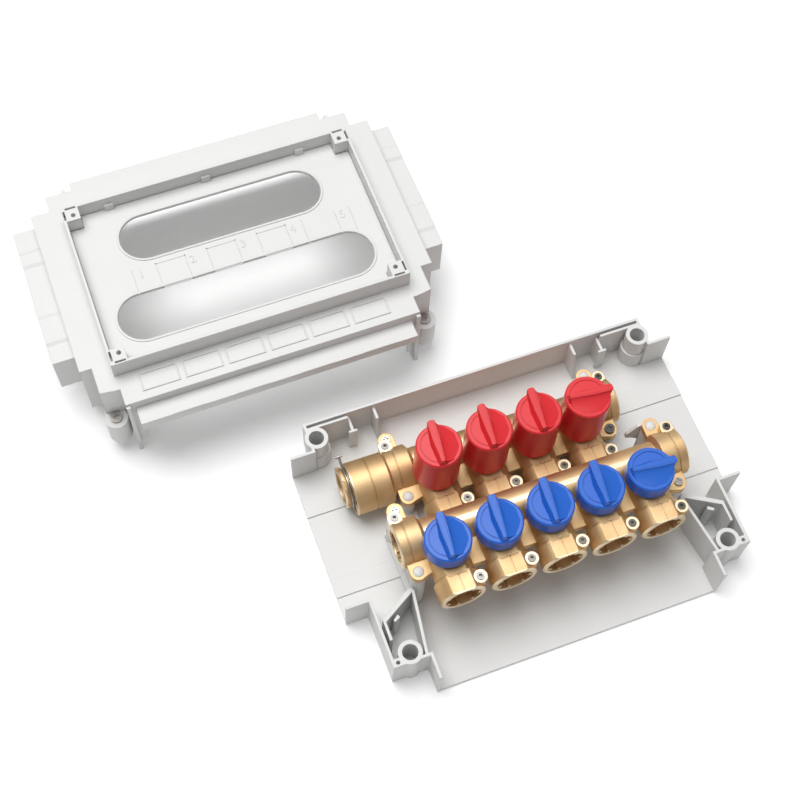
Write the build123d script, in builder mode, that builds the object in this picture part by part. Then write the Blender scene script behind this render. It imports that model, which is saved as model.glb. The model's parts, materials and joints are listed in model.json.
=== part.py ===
from build123d import *
import os

# Heating manifold in its box, the cover laid beside it on the floor.
# Millimetres, +Z up, origin on the underside of the base box, outlets towards -Y.

os.makedirs("parts", exist_ok=True)

# Layout of the two valve rows
outlet_pitch = 35.0
cold_row_y = -30.0
cold_axis_z = 48.0
hot_row_y = 31.0
hot_axis_z = 22.0
cold_pipe_y = cold_row_y + 15.0
hot_pipe_y = hot_row_y + 14.0
boss_setback = 15.0
cold_outlets = [outlet_pitch * n for n in (-2, -1, 0, 1, 2)]
hot_outlets = [outlet_pitch * n for n in (-1.5, -0.5, 0.5, 1.5)]
cold_ends = (-98.7, 103.0)
hot_ends = (-82.6, 84.6)
cold_bosses = (-94.2, 98.4)
hot_bosses = (-78.1, 80.0)
cold_lugs = (-91.2, 91.4)
hot_lugs = (-74.7, 73.3)

# Clearances between mating pieces
loose_gap = 0.3
running_gap = 0.05

# Manifold casting
pipe_r = 12.0
socket_r = 15.7
socket_length = 16.4
socket_taper = 2.5
socket_line = (6.4, 7.2)
socket_line_depth = 0.6
socket_bore_r = 11.0
socket_bore_depth = 14.0
main_bore_r = 9.0
neck_r = 13.5
mouth_r = 15.5
mouth_reach = 32.0
mouth_length = 13.0
mouth_bore_r = 12.0
edge = 0.8
neck_root = 5.0
neck_flare = 1.5
neck_flat = 11.8
mouth_flat = 13.5
boss_r = 11.5
boss_rise = 15.0
web_half = 3.0
web_front = 14.0
pip_r = 1.6
pip_rise = 13.2
pip_place = (0.3, -19.0)
lug_r = 5.5
lug_offset = 21.8
lug_web_length = 12.0
lug_web_front = 24.0
lug_half = 3.0

# Valve inside
ball_r = 7.5
port_r = 5.0
seat_bore_r = 8.5
seat_length = 3.0
retainer_length = 3.0
gland_bore_r = 7.5
gland_depth = 4.5
gland_length = 4.5
stem_r = 3.5
stem_top = 22.0
stem_shoulder = 8.0
tongue_length = 6.0
tongue_width = 2.8
tongue_foot = 6.2
slot_foot = 5.9
seal_length = 1.5

# Knobs
knob_face_z = 75.0
knob_r = 15.3
knob_foot_r = 15.6
knob_foot_rise = 15.4
knob_bevel = 0.9
knob_cavity_r = 12.6
knob_roof = 4.0
hub_r = 6.0
hub_foot_rise = 16.0
hub_bore_top = 22.3
groove_r = 11.6
groove_width = 0.7
groove_depth = 0.5
ridge_sections = {
    -0.2: [(-1.8, 14.8), (-3.2, 0.3), (-4.6, -13.4), (0.8, -13.9), (6.0, -4.0), (7.0, 5.0), (3.4, 14.6)],
    1.8: [(-1.6, 15.6), (-3.0, 0.3), (-4.2, -13.4), (-0.6, -13.8), (2.8, -4.0), (3.6, 5.0), (2.6, 15.6)],
    4.5: [(-1.5, 16.8), (-2.6, 0.3), (-3.4, -12.8), (-1.6, -13.0), (-0.4, -4.0), (0.6, 5.0), (1.5, 16.8)],
}

# Set screws and lug screws
grub_r = 2.6
grub_boss_r = 4.5
grub_side = 13.0
grub_forward = 25.3
outlet_grub_rise = 12.0
outlet_grub_floor = 7.2
end_grub_rise = 10.5
end_grub_floor = 6.7
grub_proud = 0.6
hex_r = 1.3
hex_depth = 2.0
screw_r = 2.0
screw_hole_r = 2.3
screw_head_r = 2.8
black_head_r = 3.5
screw_head_height = 2.0
screw_depth = 9.0
cross_width = 1.1
cross_length = 4.0
cross_depth = 1.0
peg_r = 3.5
peg_dome = 1.4

# Inlet coupling with its sleeve set towards the front, its clip and its seal
sleeve_r = 18.2
sleeve_shift = -3.0
sleeve_length = 26.8
sleeve_line = (12.8, 13.6)
sleeve_line_depth = 0.7
sleeve_edge = 1.2
sleeve_mouth_r = 16.4
sleeve_mouth_depth = 5.0
sleeve_rib_width = 2.2
sleeve_rib_reach = 8.4
sleeve_rib_count = 6
sleeve_rib_turn = 18.0
tube_r = 12.9
lip_r = 14.2
lip_length = 2.6
coupling_length = 32.4
coupling_bore_r = 11.0
coupling_through_r = 8.0
coupling_bore_depth = 24.0
seal_place = 15.5
seal_room_r = 12.1
spigot_length = 12.0
wire_r = 0.9
clip_back = 1.6
clip_start = 51.0
clip_span = 190.0
clip_lean = (0, 0.9, 0.44)
clip_handle = 8.5
clip_handle_half = 2.6
lip_window_margin = 0.6
lip_window_width = 1.4
lip_window_length = 5.5
lip_window_depth = 1.0
seal_r = 1.4
plug_length = 12.0
plug_flange = 1.0
plug_flange_r = 13.4

# Base box
wall = 2.0
wall_top = 32.5
floor_top = 2.0
base_half_x = 125.5
base_back = 94.0
base_front = -85.5
stub_half_x = 141.0
stub_back = 73.3
stub_front = -39.3
strut_x = (119.5, 121.3)
strut_y = (-68.0, -53.5)
chute_half_x = 100.5
chute_front = -101.3
step_bands = [(39.3, 54.1), (-21.0, -7.8)]
step_rise = 1.0
post_r = 8.0
post_hole_r = 5.2
post_foot_r = 9.3
post_foot_top = 17.0
post_hole_floor = 6.0
corner_fill_x = 115.0
corner_fill_y = -80.0
pin_hole_r = 1.3
pin_hole = (121.5, -82.9)
back_posts = (119.7, 81.2)
front_posts = (112.0, -79.1)
slot_wall_y = (88.2, 90.0)
slot_wall_x = (94.5, 122.4)
fin_x = 93.5
fin_half = 1.0
fin_front = 80.0
fin_top = 26.0
fin_flange_half = 3.0
fin_flange = 1.6
gusset_x = (-75.0, 73.0)
gusset_thick = 2.0
gusset_foot_y = 77.0
gusset_head_y = 83.0
gusset_top = 28.5
pocket_wall = [(95.0, -41.0), (97.0, -41.0), (103.5, -85.0), (101.5, -85.0)]
slanted_wall = [(96.0, -39.5), (98.5, -39.5), (121.3, -53.3), (121.3, -55.6), (119.5, -55.6), (96.0, -41.8)]
wall_tab = [(109.5, -54.5), (113.5, -56.8), (114.4, -55.2), (110.6, -52.4)]
wall_tab_top = 29.5
pin_hole_depth = 6.0

# Pipe brackets
pillar_r = 5.0
bracket_floor = 5.0
bracket_rib = 3.0
bracket_rib_gap = 2.0
bracket_fin = [(91.5, 44.5), (85.5, 44.5), (78.6, 37.0), (78.6, 32.0), (82.0, 30.0), (91.5, 21.0)]
bracket_fin_y = (11.0, 13.2)
bracket_fin_hole = (80.9, 34.2)
bracket_fin_hole_r = 1.2

# Cover, measured in its own upright position
cover_turn = 0.52
cover_shift = (-130.88, 219.37)
turn_centre = (70.0, 30.0)
step_outline = [
    (0, base_back),
    (93.0, base_back),
    (93.0, 87.6),
    (112.0, 87.6),
    (112.0, 75.4),
    (base_half_x, 75.4),
    (base_half_x, -54.6),
    (117.2, -54.6),
    (117.2, -74.3),
    (107.0, -75.8),
    (103.6, -75.8),
    (103.6, -88.5),
    (0, -88.5),
]
collar_half_x = 104.6
collar_y = (-65.45, 64.45)
collar_top = 80.3
cover_wall = 2.0
shelf_top = 65.5
skirt_foot = 12.0
insert_top = 68.6
insert_gap = 0.3
ledge_width = 5.0
slot_width = 36.1
back_slot = (54.9, 31.0)
front_slot = (73.1, -30.0)
slot_rim = 1.6
slot_rim_rise = 0.5
band_top = 57.5
band_front = -101.3
band_half_x = 97.5
band_foot = 49.5
mouth_half_x = 96.0
mouth_depth = 8.5
clip_places = (-71.7, -1.5, 68.2)
clip_half = 3.2
clip_reach = 2.0
clip_top = 74.0
leg_x = (100.7, 103.6)
leg_y = (-90.8, -80.0)
tongue_x = (97.0, 120.0)
tongue_y = (90.3, 91.7)
tongue_top = 25.5
tongue_stem_x = (97.0, 100.0)
tongue_stem_y = (86.0, 91.7)
wing_half_x = 141.0
wing_y = (-37.2, 72.0)
wing_top = 55.5
wing_foot = 22.0
wing_groove_pitch = 9.0
wing_groove_width = 2.0
wing_groove_depth = 0.8
corner_block = 12.0
corner_hole_r = 1.6
lug_tube_r = 8.0
lug_tube_top = 35.0
lug_bore_r = 5.2
lug_floor = 4.0
cover_screw_head_r = 4.2
cover_screw_depth = 14.0
cover_front_lugs = (111.9, -79.4)
cover_back_lugs = (119.7, 81.2)
label_half_x = 13.0
label_centres = [-76.8, -47.1, -17.4, 12.3, 42.0, 71.7]
label_y = (-82.4, -69.0)
label_rise = 0.6
label_frame = 1.0

centre = Vector(*turn_centre)
cover_plane = Plane(
    Vector(*cover_shift) - centre + centre.rotate(Axis.Z, cover_turn),
    x_dir=Vector(1, 0, 0).rotate(Axis.Z, cover_turn),
    z_dir=(0, 0, 1),
)


def slab(points, low, high, plane=Plane.XY, mode=Mode.ADD):
    """A plate with the given outline between two heights."""
    with BuildSketch(plane.offset(low)) as outline:
        with BuildLine():
            Polyline(*points, close=True)
        make_face()
    extrude(outline.sketch, amount=high - low, mode=mode)


def block(x, y, z, plane=Plane.XY, mode=Mode.ADD):
    """A box between the given pairs of values."""
    slab([(x[0], y[0]), (x[1], y[0]), (x[1], y[1]), (x[0], y[1])], z[0], z[1], plane, mode)


def bar(start, direction, radius, length, mode=Mode.ADD):
    """A round bar from a point along a direction."""
    with BuildSketch(Plane(start, z_dir=direction)) as disc:
        Circle(radius)
    extrude(disc.sketch, amount=length, mode=mode)


def post(x, y, radius, low, high, plane=Plane.XY, mode=Mode.ADD):
    """An upright round bar between two heights."""
    with BuildSketch(plane.offset(low)) as disc:
        with Locations((x, y)):
            Circle(radius)
    extrude(disc.sketch, amount=high - low, mode=mode)


def turned(profile, origin, along, mode=Mode.ADD):
    """A turned shape: the profile is (distance along, radius)."""
    side = (0, -1, 0) if along[2] else (0, 0, 1)
    with BuildSketch(Plane(origin, x_dir=along, z_dir=side)) as half:
        with BuildLine():
            Polyline(*profile, close=True)
        make_face()
    revolve(half.sketch, axis=Axis(origin, along), mode=mode)


def ring(origin, along, inner, outer, length):
    """A plain ring along an axis."""
    turned([(0, inner), (length, inner), (length, outer), (0, outer)], origin, along)


def finish(piece, name):
    """Name a finished piece and write it to its file."""
    piece.part.label = name
    export_step(piece.part, f"parts/{name}.step")


# Castings
def casting(outlets, row_y, pipe_y, axis_z, ends, bosses, lugs):
    """One manifold casting with its bores."""
    left, right = ends
    length = right - left
    reach = pipe_y - row_y + mouth_reach
    boss_y = pipe_y + boss_setback
    with BuildPart() as body:
        outer = [
            (0, 0),
            (0, socket_r - edge),
            (edge, socket_r),
            (socket_line[0], socket_r),
            (socket_line[0], socket_r - socket_line_depth),
            (socket_line[1], socket_r - socket_line_depth),
            (socket_line[1], socket_r),
            (socket_length, socket_r),
            (socket_length + socket_taper, pipe_r),
        ]
        turned(outer + [(length - d, r) for d, r in reversed(outer)], (left, pipe_y, axis_z), (1, 0, 0))
        for x in outlets:
            neck_length = reach - mouth_length
            turned(
                [
                    (0, 0),
                    (0, pipe_r - edge),
                    (neck_root, neck_r),
                    (neck_length - neck_flare, neck_r),
                    (neck_length, mouth_r),
                    (reach - edge, mouth_r),
                    (reach, mouth_r - edge),
                    (reach, 0),
                ],
                (x, pipe_y, axis_z),
                (0, -1, 0),
            )
        for x in outlets:
            mouth_back = row_y - mouth_reach + mouth_length
            mouth_front = row_y - mouth_reach
            high = axis_z + mouth_r + 1
            across = (x - mouth_r, x + mouth_r)
            block(across, (mouth_front, mouth_back), (axis_z + mouth_flat, high), mode=Mode.SUBTRACT)
            block(across, (mouth_back, row_y), (axis_z + neck_flat, high), mode=Mode.SUBTRACT)
        for x in outlets:
            post(x, row_y, boss_r, axis_z, axis_z + boss_rise)
            post(x + grub_side, row_y - grub_forward, grub_boss_r, axis_z, axis_z + outlet_grub_rise)
            post(x + pip_place[0], row_y + pip_place[1], pip_r, axis_z, axis_z + pip_rise)
        web = (outlets[0], outlets[-1])
        block(web, (row_y - web_front, pipe_y), (axis_z - web_half, axis_z + web_half))
        for x in lugs:
            with BuildSketch(Plane.XY.offset(axis_z - lug_half)) as ear:
                with Locations((x, pipe_y)):
                    SlotCenterToCenter(2 * lug_offset, 2 * lug_r, rotation=90)
            extrude(ear.sketch, amount=2 * lug_half)
            inward = x - lug_web_length if x > 0 else x + lug_web_length
            lug_web = [
                (x, pipe_y),
                (x, pipe_y - lug_offset - lug_r),
                (inward, pipe_y - lug_web_front),
                (inward, pipe_y),
            ]
            slab(lug_web, axis_z - lug_half, axis_z + lug_half)
        for x in bosses:
            post(x, boss_y, grub_boss_r, axis_z - lug_half, axis_z + end_grub_rise)
            boss_z = (axis_z - lug_half, axis_z + end_grub_rise)
            block((x - grub_boss_r, x + grub_boss_r), (pipe_y, boss_y), boss_z)
        crown = axis_z + mouth_r + 1
        for x in outlets:
            spot_x, spot_y = x + grub_side, row_y - grub_forward
            post(spot_x, spot_y, grub_boss_r, axis_z + outlet_grub_rise, crown, mode=Mode.SUBTRACT)
        for x in bosses:
            post(x, boss_y, grub_boss_r, axis_z + end_grub_rise, crown, mode=Mode.SUBTRACT)

        bar((left, pipe_y, axis_z), (1, 0, 0), main_bore_r, length, Mode.SUBTRACT)
        bar((left, pipe_y, axis_z), (1, 0, 0), socket_bore_r, socket_bore_depth, Mode.SUBTRACT)
        bar((right, pipe_y, axis_z), (-1, 0, 0), socket_bore_r, socket_bore_depth, Mode.SUBTRACT)
        for x in outlets:
            shoulder = ball_r + 0.8
            seat_end = shoulder + mouth_reach
            bar((x, pipe_y, axis_z), (0, -1, 0), port_r, reach, Mode.SUBTRACT)
            bar((x, row_y + shoulder, axis_z), (0, -1, 0), seat_bore_r, seat_end, Mode.SUBTRACT)
            bar((x, row_y - mouth_reach, axis_z), (0, 1, 0), mouth_bore_r, mouth_length, Mode.SUBTRACT)
            post(x, row_y, stem_r + loose_gap, axis_z, axis_z + boss_rise, mode=Mode.SUBTRACT)
            gland_floor = axis_z + boss_rise - gland_depth
            post(x, row_y, gland_bore_r, gland_floor, axis_z + boss_rise, mode=Mode.SUBTRACT)
            grub_x = x + grub_side
            grub_y = row_y - grub_forward
            low = axis_z + outlet_grub_floor
            post(grub_x, grub_y, grub_r, low, axis_z + outlet_grub_rise, mode=Mode.SUBTRACT)
        for x in bosses:
            low = axis_z + end_grub_floor
            post(x, boss_y, grub_r, low, axis_z + end_grub_rise, mode=Mode.SUBTRACT)
        for x, side in zip(lugs, (-1, 1)):
            for end in (-1, 1):
                hole = peg_r + running_gap if side == end else screw_hole_r
                low, high = axis_z - lug_half, axis_z + lug_half
                post(x, pipe_y + end * lug_offset, hole, low, high, mode=Mode.SUBTRACT)
    return body


cold_manifold = casting(
    cold_outlets, cold_row_y, cold_pipe_y, cold_axis_z, cold_ends, cold_bosses, cold_lugs
)
finish(cold_manifold, "cold_manifold")
hot_manifold = casting(hot_outlets, hot_row_y, hot_pipe_y, hot_axis_z, hot_ends, hot_bosses, hot_lugs)
finish(hot_manifold, "hot_manifold")


# Valve insides shared by a whole row
def seats(outlets, row_y, axis_z):
    """Seat rings on both sides of every ball."""
    shoulder = ball_r + 0.8
    with BuildPart() as rings:
        for x in outlets:
            for way in (-1, 1):
                start = (x, row_y + way * (shoulder - seat_length), axis_z)
                ring(start, (0, way, 0), port_r, seat_bore_r - running_gap, seat_length - 0.1)
        for x in outlets:
            with Locations((x, row_y, axis_z)):
                Sphere(ball_r + loose_gap, mode=Mode.SUBTRACT)
    return rings


def retainers(outlets, row_y, axis_z):
    """Rings that hold the front seats."""
    shoulder = ball_r + 0.8
    with BuildPart() as rings:
        for x in outlets:
            start = (x, row_y - shoulder, axis_z)
            ring(start, (0, -1, 0), port_r + 0.5, seat_bore_r - running_gap, retainer_length)
    return rings


def glands(outlets, row_y, axis_z):
    """Gland nuts in the stem bosses, flush with their tops."""
    with BuildPart() as nuts:
        for x in outlets:
            start = (x, row_y, axis_z + boss_rise - gland_length + seal_length)
            inner = stem_r + loose_gap
            ring(start, (0, 0, 1), inner, gland_bore_r - running_gap, gland_length - seal_length)
    return nuts


def seals(outlets, row_y, axis_z):
    """Stem seals under the gland nuts."""
    with BuildPart() as rings:
        for x in outlets:
            start = (x, row_y, axis_z + boss_rise - gland_depth)
            inner = stem_r + loose_gap
            ring(start, (0, 0, 1), inner, gland_bore_r - loose_gap, seal_length)
    return rings


def set_screws(places, low, high):
    """Hex socket set screws, standing slightly proud of their bosses."""
    with BuildPart() as screws:
        for x, y in places:
            post(x, y, grub_r - running_gap, low, high + grub_proud)
            with BuildSketch(Plane.XY.offset(high + grub_proud - hex_depth)) as socket:
                with Locations((x, y)):
                    RegularPolygon(hex_r, 6)
            extrude(socket.sketch, amount=hex_depth, mode=Mode.SUBTRACT)
    return screws


rows = (
    ("cold", cold_outlets, cold_row_y, cold_pipe_y, cold_axis_z, cold_ends[1], cold_bosses),
    ("hot", hot_outlets, hot_row_y, hot_pipe_y, hot_axis_z, hot_ends[1], hot_bosses),
)
for row, outlets, row_y, pipe_y, axis_z, right_end, bosses in rows:
    finish(seats(outlets, row_y, axis_z), f"{row}_ball_seats")
    finish(retainers(outlets, row_y, axis_z), f"{row}_seat_retainers")
    finish(glands(outlets, row_y, axis_z), f"{row}_gland_nuts")
    finish(seals(outlets, row_y, axis_z), f"{row}_stem_seals")
    outlet_places = [(x + grub_side, row_y - grub_forward) for x in outlets]
    low, high = axis_z + outlet_grub_floor, axis_z + outlet_grub_rise
    finish(set_screws(outlet_places, low, high), f"{row}_outlet_grub_screws")
    end_places = [(x, pipe_y + boss_setback) for x in bosses]
    low, high = axis_z + end_grub_floor, axis_z + end_grub_rise
    finish(set_screws(end_places, low, high), f"{row}_end_grub_screws")
    with BuildPart() as end_plug:
        plug_r = socket_bore_r - running_gap
        turned(
            [
                (-plug_flange, 0),
                (-plug_flange, plug_flange_r - edge),
                (edge - plug_flange, plug_flange_r),
                (0, plug_flange_r),
                (0, plug_r),
                (plug_length, plug_r),
                (plug_length, 0),
            ],
            (right_end, pipe_y, axis_z),
            (-1, 0, 0),
        )
    finish(end_plug, f"{row}_end_plug")


# Valves: ball, stem and knob turn together
def turn_about(points, x, y, closed):
    """Plan points of an open valve, turned a quarter clockwise for a closed one."""
    return [(x + q, y - p) if closed else (x + p, y + q) for p, q in points]


def valve(name, x, row_y, axis_z, closed):
    """Ball, stem and knob of one outlet."""
    along = (1, 0, 0) if closed else (0, 1, 0)
    start = (x - ball_r * along[0], row_y - ball_r * along[1], axis_z)
    half_slot = tongue_width / 2 + running_gap
    with BuildPart() as ball:
        with Locations((x, row_y, axis_z)):
            Sphere(ball_r)
        bar(start, along, port_r, 2 * ball_r, Mode.SUBTRACT)
        groove = [(-ball_r, -half_slot), (ball_r, -half_slot), (ball_r, half_slot), (-ball_r, half_slot)]
        slab(turn_about(groove, x, row_y, closed), axis_z + slot_foot, axis_z + ball_r, mode=Mode.SUBTRACT)
    finish(ball, f"{name}_ball")

    with BuildPart() as stem:
        post(x, row_y, stem_r, axis_z + stem_shoulder, axis_z + stem_top)
        half_length, half_width = tongue_length / 2, tongue_width / 2
        tongue = [
            (-half_length, -half_width),
            (half_length, -half_width),
            (half_length, half_width),
            (-half_length, half_width),
        ]
        slab(turn_about(tongue, x, row_y, closed), axis_z + tongue_foot, axis_z + stem_shoulder)
    finish(stem, f"{name}_stem")

    foot = axis_z + knob_foot_rise
    roof = knob_face_z - knob_roof
    with BuildPart() as knob:
        turned(
            [
                (foot, knob_cavity_r),
                (foot, knob_foot_r),
                (knob_face_z - knob_bevel, knob_r),
                (knob_face_z, knob_r - knob_bevel),
                (knob_face_z, groove_r + groove_width),
                (knob_face_z - groove_depth, groove_r + groove_width),
                (knob_face_z - groove_depth, groove_r),
                (knob_face_z, groove_r),
                (knob_face_z, 0),
                (axis_z + hub_bore_top, 0),
                (axis_z + hub_bore_top, stem_r + running_gap),
                (axis_z + hub_foot_rise, stem_r + running_gap),
                (axis_z + hub_foot_rise, hub_r),
                (roof, hub_r),
                (roof, knob_cavity_r),
            ],
            (x, row_y, 0),
            (0, 0, 1),
        )
        sections = []
        for rise, points in ridge_sections.items():
            with BuildSketch(Plane.XY.offset(knob_face_z + rise)) as section:
                with BuildLine():
                    Polyline(*turn_about(points, x, row_y, closed), close=True)
                make_face()
            sections.append(section.sketch)
        loft(sections, ruled=True)
    finish(knob, f"{name}_knob")


for number, x in enumerate(cold_outlets, 1):
    valve(f"cold_valve_{number}", x, cold_row_y, cold_axis_z, closed=number == len(cold_outlets))
for number, x in enumerate(hot_outlets, 1):
    valve(f"hot_valve_{number}", x, hot_row_y, hot_axis_z, closed=number == len(hot_outlets))


# Inlet coupling of the lower manifold
inlet = (hot_ends[0], hot_pipe_y, hot_axis_z)
outward = (-1, 0, 0)
sleeve_start = (inlet[0], inlet[1] + sleeve_shift, inlet[2])
sleeve_mouth = (inlet[0] - sleeve_length, sleeve_start[1], inlet[2])
mouth = (inlet[0] - coupling_length, inlet[1], inlet[2])
seal_seat = (mouth[0] + seal_place, inlet[1], inlet[2])
seal_room = seal_r * 2 + loose_gap
with BuildPart() as inlet_coupling:
    turned(
        [
            (0, 0),
            (0, sleeve_r - sleeve_edge),
            (sleeve_edge, sleeve_r),
            (sleeve_line[0], sleeve_r),
            (sleeve_line[0], sleeve_r - sleeve_line_depth),
            (sleeve_line[1], sleeve_r - sleeve_line_depth),
            (sleeve_line[1], sleeve_r),
            (sleeve_length, sleeve_r),
            (sleeve_length, 0),
        ],
        sleeve_start,
        outward,
    )
    bar(sleeve_mouth, (1, 0, 0), sleeve_mouth_r, sleeve_mouth_depth, Mode.SUBTRACT)
    with BuildSketch(Plane(sleeve_mouth, x_dir=(0, 1, 0), z_dir=(1, 0, 0))) as ribs:
        with PolarLocations(tube_r, sleeve_rib_count, start_angle=sleeve_rib_turn):
            Rectangle(sleeve_rib_reach, sleeve_rib_width)
    extrude(ribs.sketch, amount=sleeve_mouth_depth)
    turned(
        [
            (-spigot_length, 0),
            (-spigot_length, socket_bore_r - running_gap),
            (0, socket_bore_r - running_gap),
            (0, tube_r),
            (coupling_length - lip_length, tube_r),
            (coupling_length - lip_length, lip_r),
            (coupling_length - edge, lip_r),
            (coupling_length, lip_r - edge),
            (coupling_length, 0),
        ],
        inlet,
        outward,
    )
    window_plane = Plane((mouth[0] + lip_window_margin, mouth[1], mouth[2]), x_dir=(0, 1, 0), z_dir=(1, 0, 0))
    with BuildSketch(window_plane) as windows:
        with PolarLocations(lip_r, sleeve_rib_count, start_angle=sleeve_rib_turn + 180 / sleeve_rib_count):
            Rectangle(2 * lip_window_depth, lip_window_length)
    extrude(windows.sketch, amount=lip_window_width, mode=Mode.SUBTRACT)
    bar(mouth, (1, 0, 0), coupling_bore_r, coupling_bore_depth, Mode.SUBTRACT)
    bar(mouth, (1, 0, 0), coupling_through_r, coupling_length + spigot_length, Mode.SUBTRACT)
    bar(seal_seat, (1, 0, 0), seal_room_r, seal_room, Mode.SUBTRACT)
finish(inlet_coupling, "inlet_coupling")

with BuildPart() as inlet_o_ring:
    middle = (seal_seat[0] + seal_room / 2, inlet[1], inlet[2])
    with BuildSketch(Plane(middle, x_dir=(0, 1, 0), z_dir=(0, 0, 1))) as section:
        with Locations((seal_room_r - running_gap - seal_r, 0)):
            Circle(seal_r)
    revolve(section.sketch, axis=Axis(middle, (1, 0, 0)))
finish(inlet_o_ring, "inlet_o_ring")

with BuildPart() as retaining_clip:
    clip_r = tube_r + wire_r + running_gap
    clip_x = inlet[0] - coupling_length + lip_length + clip_back
    with BuildLine(Plane((clip_x, inlet[1], inlet[2]), x_dir=(0, 1, 0), z_dir=(1, 0, 0))) as wire_line:
        CenterArc((0, 0), clip_r, clip_start, clip_span)
    handle_foot = wire_line.line @ 0
    with BuildSketch(Plane(handle_foot, z_dir=wire_line.line % 0)) as wire_section:
        Circle(wire_r)
    sweep(wire_section.sketch, path=wire_line.line)
    bar(handle_foot, clip_lean, wire_r, clip_handle)
    handle_top = handle_foot + Vector(*clip_lean).normalized() * clip_handle
    bar(handle_top - Vector(clip_handle_half, 0, 0), (1, 0, 0), wire_r, 2 * clip_handle_half)
finish(retaining_clip, "retaining_clip")

# Base box
with BuildPart() as base_box:
    half_outline = [
        (0, base_back),
        (base_half_x, base_back),
        (base_half_x, stub_back),
        (stub_half_x, stub_back),
        (stub_half_x, stub_front),
        (base_half_x, stub_front),
        (base_half_x, base_front),
        (chute_half_x, base_front),
        (chute_half_x, chute_front),
        (0, chute_front),
    ]
    slab(half_outline + [(-x, y) for x, y in reversed(half_outline[1:-1])], 0, floor_top)
    for band in step_bands:
        block((-stub_half_x, stub_half_x), band, (0, floor_top + step_rise))
    block((-base_half_x, base_half_x), (base_back - wall, base_back), (0, wall_top))
    for side in (-1, 1):
        def wall_block(x, y, top=wall_top, low=0.0):
            """A wall of the box on this side."""
            block(sorted((side * x[0], side * x[1])), y, (low, top))

        wall_block((base_half_x - wall, base_half_x), (stub_back - wall, base_back))
        wall_block((base_half_x - wall, stub_half_x), (stub_back - wall, stub_back))
        wall_block((base_half_x - wall, stub_half_x), (stub_front, stub_front + wall))
        wall_block((base_half_x - wall, base_half_x), (base_front, stub_front + wall))
        wall_block((chute_half_x - wall, base_half_x), (base_front, base_front + wall))
        wall_block((chute_half_x - wall, chute_half_x), (chute_front, base_front + wall))
        wall_block(strut_x, strut_y)
        wall_block(slot_wall_x, slot_wall_y)
        wall_block((slot_wall_x[1], base_half_x), slot_wall_y)
        wall_block((fin_x - fin_half, fin_x + fin_half), (fin_front, base_back - wall), fin_top)
        flange_x = (fin_x - fin_flange_half, fin_x + fin_flange_half)
        wall_block(flange_x, (fin_front, fin_front + fin_flange), fin_top)
        for outline, top in ((pocket_wall, wall_top), (slanted_wall, wall_top), (wall_tab, wall_tab_top)):
            slab([(side * x, y) for x, y in outline], 0, top)
        wall_block((corner_fill_x, base_half_x), (base_front, corner_fill_y))
        pin_foot = wall_top - pin_hole_depth
        post(side * pin_hole[0], pin_hole[1], pin_hole_r, pin_foot, wall_top, mode=Mode.SUBTRACT)
        foot_x = (base_half_x - 2 * post_foot_r, base_half_x)
        with BuildSketch() as foot:
            with Locations((side * back_posts[0], back_posts[1])):
                Circle(post_foot_r)
            with Locations((side * (foot_x[0] + foot_x[1]) / 2, back_posts[1])):
                Rectangle(foot_x[1] - foot_x[0], 2 * post_foot_r, mode=Mode.INTERSECT)
        extrude(foot.sketch, amount=post_foot_top)
        for x, y in (back_posts, front_posts):
            post(side * x, y, post_r, 0, wall_top)
        for x, y in (back_posts, front_posts):
            post(side * x, y, post_hole_r, post_hole_floor, wall_top, mode=Mode.SUBTRACT)
    for x in gusset_x:
        gusset_plane = Plane((x - gusset_thick / 2, 0, 0), x_dir=(0, 1, 0), z_dir=(1, 0, 0))
        gusset = [
            (base_back - wall, 0),
            (base_back - wall, gusset_top),
            (gusset_head_y, gusset_top),
            (gusset_foot_y, floor_top),
            (gusset_foot_y, 0),
        ]
        slab(gusset, 0, gusset_thick, gusset_plane)
finish(base_box, "base_box")


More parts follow.
